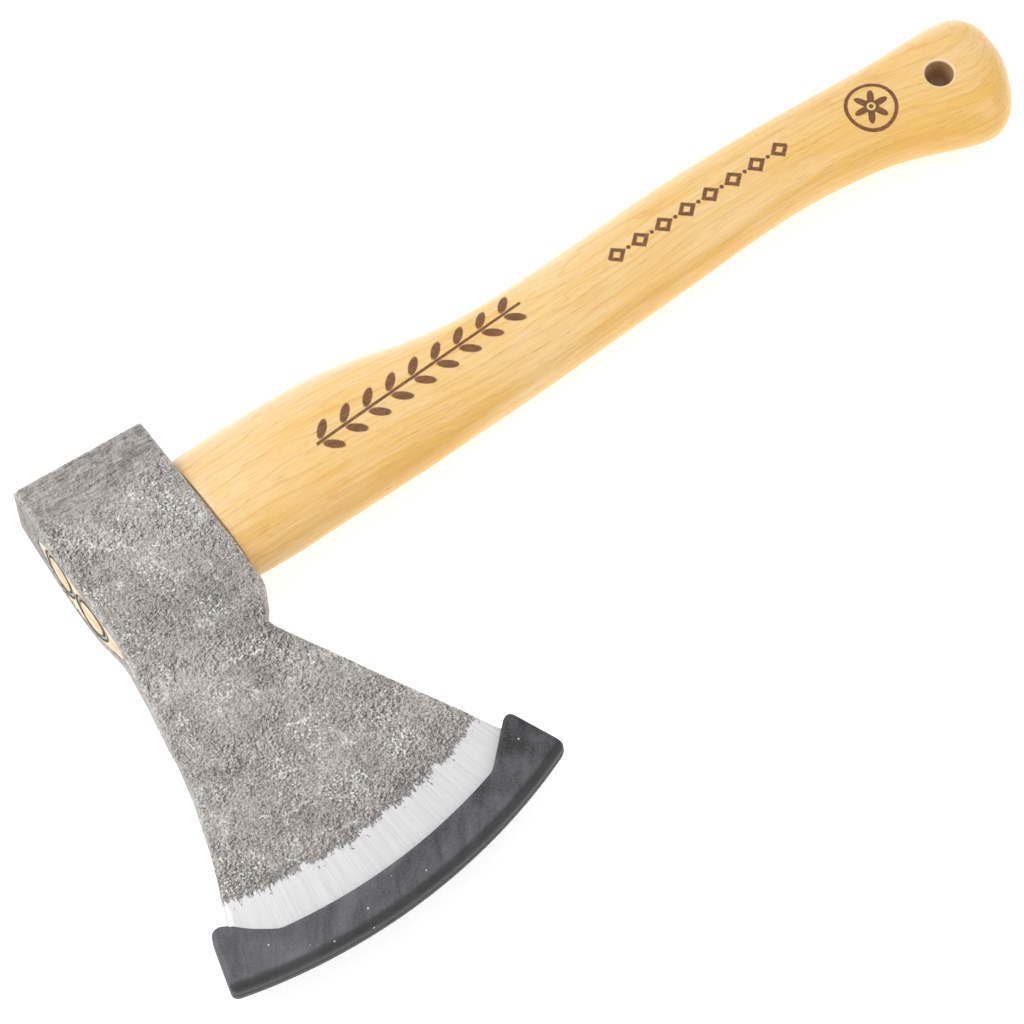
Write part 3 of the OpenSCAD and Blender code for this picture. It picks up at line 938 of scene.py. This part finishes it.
def hickory_material(name, end=False, wedge=False):
    g = Graph(name)
    if end:
        # end grain: growth lines, pores and a little dirt rubbed in
        q = g.vec(g.mul(g.z, 1.0), g.mul(g.y, 0.16), g.mul(g.x, 0.03))
        wav = g.noise(g.vmath("ADD", q, g.vmath("SCALE", g.vec(g.noise(g.P, 0.12, 2), 0.0, 0.0), scale=3.0)), 0.85, 3, 0.6)
        pores = g.step(g.noise(g.P, 3.6, 2, 0.6), 0.60, 0.70)
        base = g.mix(g.step(wav, 0.36, 0.62), (0.93, 0.67, 0.40), (0.96, 0.83, 0.66))
        base = g.mix(g.mul(g.step(wav, 0.45, 0.38), 0.5), base, (0.70, 0.36, 0.13))
        base = g.mix(g.mul(pores, 0.4), base, (0.55, 0.32, 0.17))
        if wedge:
            base = g.mix(0.55, base, (0.62, 0.38, 0.20))
        base = g.mix(g.mul(g.step(g.noise(g.P, 0.3, 3), 0.56, 0.72), 0.45), base, (0.62, 0.44, 0.30))
        # painted shadow: a near-black band on the wood round each steel ring, the shade where ring and wood meet
        for at in RING_V:
            b = g.math("SUBTRACT", g.y, float(at - MID_V))
            c = g.math("SUBTRACT", g.z, 14.5)
            rr = g.math("SQRT", g.add(g.mul(b, b), g.mul(c, c)))
            ring_gap_shadow = g.step(g.math("ABSOLUTE", g.math("SUBTRACT", rr, 7.62)), 1.75, 1.3)
            base = g.mix(g.mul(ring_gap_shadow, 0.93), base, (0.035, 0.022, 0.014))
        g.set(Base_Color=base, Roughness=0.7, Normal=g.bump(g.add(g.mul(wav, 0.12), g.mul(pores, -0.10)), 0.6), Specular_IOR_Level=0.3)
        return g.mat
    G = g.attr("grain", True)
    u, v, w = g.split(G)
    warp = g.noise(g.vec(g.mul(u, 0.0085), g.mul(v, 0.045), g.mul(w, 0.045)), 1, 3, 0.5)
    f = g.add(g.mul(v, 0.26), g.mul(w, 0.34), g.mul(warp, 6.5), g.mul(u, 0.004))
    strand0 = g.noise(g.vec(g.mul(u, 0.03), g.mul(v, 0.7), g.mul(w, 0.7)), 1, 3, 0.62)
    saw = g.math("FRACT", f)
    late = g.mul(g.step(saw, 0.62, 0.96), g.step(saw, 1.0, 0.96), g.step(strand0, 0.30, 0.60))
    strand = g.noise(g.vec(g.mul(u, 0.030), g.mul(v, 0.62), g.mul(w, 0.62)), 1, 4, 0.66)
    fibre = g.noise(g.vec(g.mul(u, 0.11), g.mul(v, 1.9), g.mul(w, 1.9)), 1, 3, 0.65)
    pore = g.step(g.noise(g.vec(g.mul(u, 0.17), g.mul(v, 2.0), g.mul(w, 2.0)), 1, 1, 0.5), 0.64, 0.72)
    cloud = g.noise(g.vec(g.mul(u, 0.022), g.mul(v, 0.07), g.mul(w, 0.07)), 1, 3, 0.5)
    fleck = g.step(g.noise(g.vec(g.mul(u, 0.30), g.mul(v, 0.9), g.mul(w, 0.9)), 1, 2, 0.6), 0.62, 0.74)
    pale, honey, amber, dark = (0.955, 0.685, 0.34), (0.915, 0.545, 0.125), (0.80, 0.40, 0.070), (0.58, 0.26, 0.07)
    # painted shade: the lower side of the handle is made warmer and darker amber than the upper side
    low = g.step(v, 4.0, -22.0)
    knobward = g.mul(g.step(u, 150.0, 330.0), 0.34)
    warm = g.add(g.mul(low, g.step(u, 50.0, 130.0), 0.55), knobward, g.mul(g.math("SUBTRACT", cloud, 0.5), 1.7), g.mul(g.math("SUBTRACT", strand, 0.5), 1.7), 0.20)
    base = g.mix(g.math("MULTIPLY", warm, 1.0, clamp=True), pale, honey)
    base = g.mix(g.mul(late, 0.42), base, (0.74, 0.39, 0.10))
    # painted shade: amber patches on the lower side, where the cloud and strand noise is high
    base = g.mix(g.math("MULTIPLY", g.math("SUBTRACT", g.mul(low, g.add(cloud, strand)), 0.72), 0.8, clamp=True), base, amber)
    base = g.mix(g.mul(g.step(fibre, 0.42, 0.70), 0.30), base, (0.76, 0.40, 0.12))
    # painted highlight: a pale cream band along the upper side
    base = g.mix(g.mul(g.step(v, 13.0, 26.0), 0.5), base, (0.95, 0.80, 0.62))
    base = g.mix(g.mul(pore, 0.34), base, dark)
    base = g.mix(g.mul(fleck, g.step(cloud, 0.50, 0.66), 0.5), base, (0.80, 0.45, 0.22))
    # inside the drilled hole the wood is bare, so rougher; its darker brown is painted shade, the shadow inside the
    # hole
    a, b = g.math("SUBTRACT", g.x, 335 - MID_U), g.math("SUBTRACT", g.y, 7.7 - MID_V)
    rr = g.math("SQRT", g.add(g.mul(a, a), g.mul(b, b)))
    bore = g.step(rr, 5.0, 4.75)
    rim = g.mul(g.step(rr, 5.7, 5.3), g.math("SUBTRACT", 1.0, bore))
    base = g.mix(g.mul(bore, 0.85), base, (0.42, 0.25, 0.13))
    base = g.mix(g.mul(rim, 0.8), base, (0.93, 0.80, 0.60))
    du, dv = g.add(g.x, MID_U), g.add(g.y, MID_V)
    burn = ornament(g, du, dv)
    scorch = g.mix(g.step(g.noise(g.vec(g.mul(u, 0.5), g.mul(v, 2.4), g.mul(w, 2.4)), 1, 3, 0.6), 0.30, 0.72), (0.060, 0.015, 0.006), (0.25, 0.080, 0.028))
    base = g.mix(g.mul(burn, 0.93), base, scorch)
    height = g.add(g.mul(strand, 0.030), g.mul(fibre, 0.012), g.mul(pore, -0.02), g.mul(burn, -0.10))
    g.set(
        Base_Color=base,
        Roughness=g.add(0.36, g.mul(g.math("SUBTRACT", strand, 0.5), 0.18), g.mul(burn, 0.2), g.mul(bore, 0.3)),
        Normal=g.bump(height, 0.8),
        Coat_Weight=g.math("SUBTRACT", 0.35, g.mul(burn, 0.33)),
        Coat_Roughness=0.16,
        Specular_IOR_Level=0.5,
    )
    return g.mat


def ring_material():
    g = Graph("wedge_steel")
    fine = g.noise(g.P, 2.4, 3, 0.6)
    smear = g.noise(g.vec(g.mul(g.x, 0.5), g.mul(g.y, 1.4), g.mul(g.z, 1.4)), 1, 3, 0.6)
    base = g.mix(smear, (0.20, 0.165, 0.13), (0.58, 0.53, 0.47))
    base = g.mix(g.mul(g.step(g.noise(g.P, 0.8, 3), 0.56, 0.70), 0.5), base, (0.20, 0.11, 0.06))
    g.set(Base_Color=base, Metallic=0.85, Roughness=g.add(0.32, g.mul(fine, 0.25)), Normal=g.bump(g.mul(fine, 0.08), 0.6))
    return g.mat


def rubber_material():
    g = Graph("guard_rubber")
    mott = g.noise(g.P, 0.035, 4, 0.6, 0.8)
    mott2 = g.noise(g.vec(g.add(g.mul(g.x, 0.20), g.mul(g.y, -0.12)), g.add(g.mul(g.y, 0.05), g.mul(g.x, 0.03)), 3.0), 1, 4, 0.6, 0.5)
    grain = g.noise(g.P, 1.7, 2, 0.6)
    rim = g.attr("rim")
    m = g.math("ADD", g.mul(g.step(mott, 0.34, 0.66), 0.65), g.mul(g.step(mott2, 0.35, 0.68), 0.35), clamp=True)
    toeward = g.step(g.x, -75.0, -165.0)
    m = g.math("ADD", g.mul(m, 0.70), g.mul(toeward, 0.34), clamp=True)
    base = g.mix(m, (0.018, 0.018, 0.020), (0.180, 0.180, 0.193))
    base = g.mix(g.mul(g.step(grain, 0.48, 0.66), 0.24), base, (0.20, 0.195, 0.195))
    base = g.mix(g.mul(g.step(grain, 0.46, 0.34), 0.28), base, (0.02, 0.02, 0.021))
    # painted shade: near-black on the walls and the outer band marked by the rim attribute
    base = g.mix(g.mul(rim, 0.75), base, (0.022, 0.021, 0.022))
    dust = g.mul(g.step(g.voronoi(g.P, 0.24), 0.085, 0.060), g.step(g.noise(g.P, 0.09, 1), 0.44, 0.50))
    base = g.mix(g.mul(dust, 0.9), base, (0.75, 0.74, 0.72))
    lint = g.step(g.noise(g.P, 1.5, 2, 0.7), 0.70, 0.76)
    base = g.mix(g.mul(lint, 0.25), base, (0.35, 0.34, 0.33))
    g.set(
        Base_Color=base,
        Roughness=g.add(0.44, g.mul(m, 0.12), g.mul(grain, 0.08)),
        Normal=g.bump(g.add(g.mul(grain, 0.05), g.mul(g.noise(g.P, 0.5, 2), 0.10)), 0.5),
        Specular_IOR_Level=0.45,
    )
    return g.mat


steel = steel_material()
wood = hickory_material("hickory")
wood_end = hickory_material("hickory_end_grain", end=True)
wedge_wood = hickory_material("wedge_wood", end=True, wedge=True)
ring_steel = ring_material()
rubber = rubber_material()

head.data.materials.clear()
head.data.materials.append(steel)
handle.data.materials.clear()
handle.data.materials.append(wood)
handle.data.materials.append(wood_end)
for f in handle.data.polygons:
    f.material_index = 1 if to_drawing(np.array(f.center))[0] < 49 else 0
for o, m in ((wedge, wedge_wood), (ring_poll, ring_steel), (ring_blade, ring_steel), (guard, rubber)):
    o.data.materials.clear()
    o.data.materials.append(m)
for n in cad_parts.values():
    n.data.materials.clear()
    n.data.materials.append(steel)

# ---- bodies ------------------------------------------------------------------------

for o, body, node, slot in (
    (head, "hatchet", "head", "forged_steel"),
    (handle, "hatchet", "handle", "hickory"),
    (wedge, "hatchet", "wood_wedge", "wedge_wood"),
    (ring_poll, "hatchet", "ring_wedge_poll", "wedge_steel"),
    (ring_blade, "hatchet", "ring_wedge_blade", "wedge_steel"),
    (guard, "guard", "edge_guard", "guard_rubber"),
):
    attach(o, body)
    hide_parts(node)

# ---- stage -------------------------------------------------------------------------

bm = bmesh.new()
bmesh.ops.create_grid(bm, x_segments=8, y_segments=8, size=4.0)
me = bpy.data.meshes.new("floor")
bm.to_mesh(me)
bm.free()
floor = bpy.data.objects.new("floor", me)
bpy.context.scene.collection.objects.link(floor)
floor.location = (0, 0, cad_lo.z - 0.0004)
g = Graph("pale_floor")
tone = g.noise(g.P, 0.004, 2)
g.set(Base_Color=g.mix(tone, (0.86, 0.86, 0.86), (0.90, 0.90, 0.90)), Roughness=0.8, Emission_Color=(1, 1, 1), Emission_Strength=0.55, Specular_IOR_Level=0.2)
floor.data.materials.append(g.mat)

scene = bpy.context.scene
scene.view_settings.view_transform = "Standard"
world = bpy.data.worlds.new("studio")
scene.world = world
world.use_nodes = True
bg = world.node_tree.nodes["Background"]
bg.inputs[0].default_value = (1.0, 1.0, 1.0, 1)
bg.inputs[1].default_value = 0.56

target = Vector((-0.0351, 0.0057, 0.0145))


def area(name, where, size, power, aim=target):
    light = bpy.data.lights.new(name, "AREA")
    light.shape, light.size, light.energy = "SQUARE", size, power
    o = bpy.data.objects.new(name, light)
    scene.collection.objects.link(o)
    o.location = where
    o.rotation_euler = (aim - Vector(where)).to_track_quat("-Z", "Y").to_euler()
    return o


area("softbox_key", (-0.75, 0.75, 1.35), 0.9, 15)
area("softbox_fill", (0.9, -0.9, 1.1), 0.9, 5)

cam_data = bpy.data.cameras.new("camera")
cam_data.lens, cam_data.sensor_width = 151.17, 36
cam_data.clip_start, cam_data.clip_end = 0.02, 30
cam = bpy.data.objects.new("camera", cam_data)
scene.collection.objects.link(cam)
back = Vector((-0.2313, -0.3631, 0.9026)).normalized()
cam.rotation_mode = "QUATERNION"
cam.location = target + back * 1.3675
cam.rotation_quaternion = (-back).to_track_quat("-Z", "Y")
scene.camera = cam
